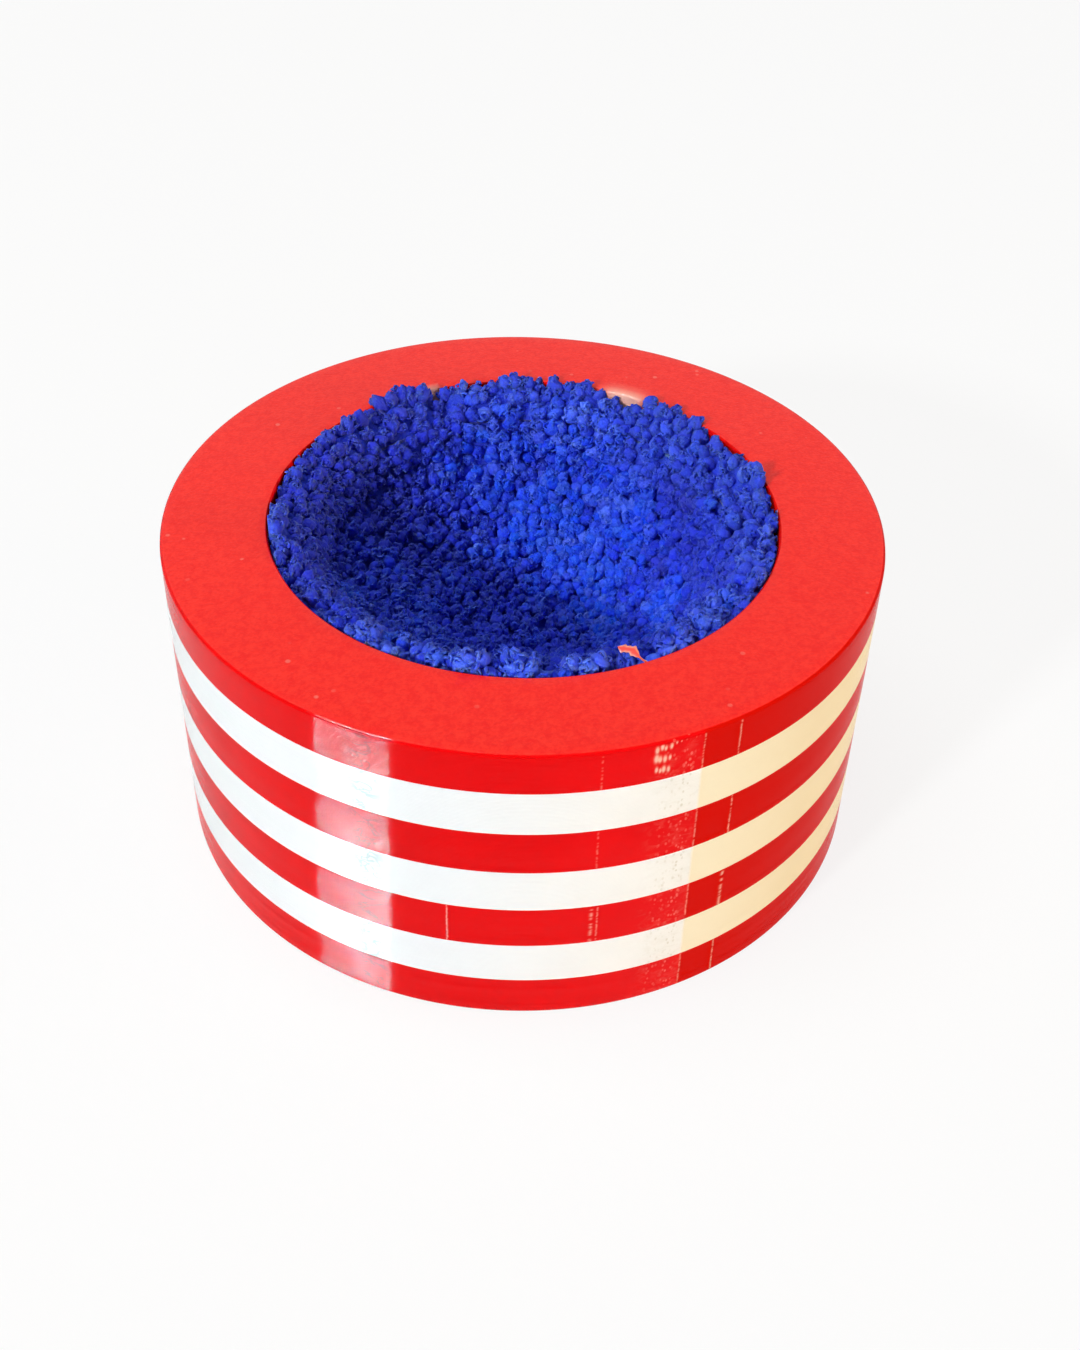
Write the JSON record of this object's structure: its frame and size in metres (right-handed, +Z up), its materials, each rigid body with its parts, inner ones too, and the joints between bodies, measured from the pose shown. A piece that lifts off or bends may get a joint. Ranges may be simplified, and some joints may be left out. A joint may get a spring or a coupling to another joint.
{
  "type": "golf ball washer",
  "caption": "Low striped cup with a flat rim round a bore lined with looped pile, in which a wet golf ball is turned by hand.",
  "frame": {"origin": "centre of the flat underside", "axes": "+Z up along the bore's axis; -Y is the front of the picture"},
  "size_m": [0.088, 0.088, 0.0414],
  "materials": {
    "red_print": "glossy printed layers",
    "white_print": "glossy printed layers",
    "black_print": "printed layers",
    "rubber": "matt",
    "sponge": "open-cell foam",
    "blue_pile": "looped microfibre pile"
  },
  "bodies": {
    "shell": {"band_1_red_base": "red_print", "band_2_white": "white_print", "band_3_red": "red_print", "band_4_white": "white_print", "band_5_red": "red_print", "band_6_white": "white_print", "band_7_red_rim": "red_print"},
    "cartridge": {"insert_cup": "black_print", "hem_hoop": "black_print", "grip_ring": "rubber", "sponge_pad": "sponge", "sponge_sleeve": "sponge", "pile_liner": "blue_pile"}
  },
  "joints": [
    {"name": "insert_lift", "type": "slide", "parent": "shell", "child": "cartridge", "axis": [0, 0, 1], "range_m": [0, 0.042]}
  ]
}
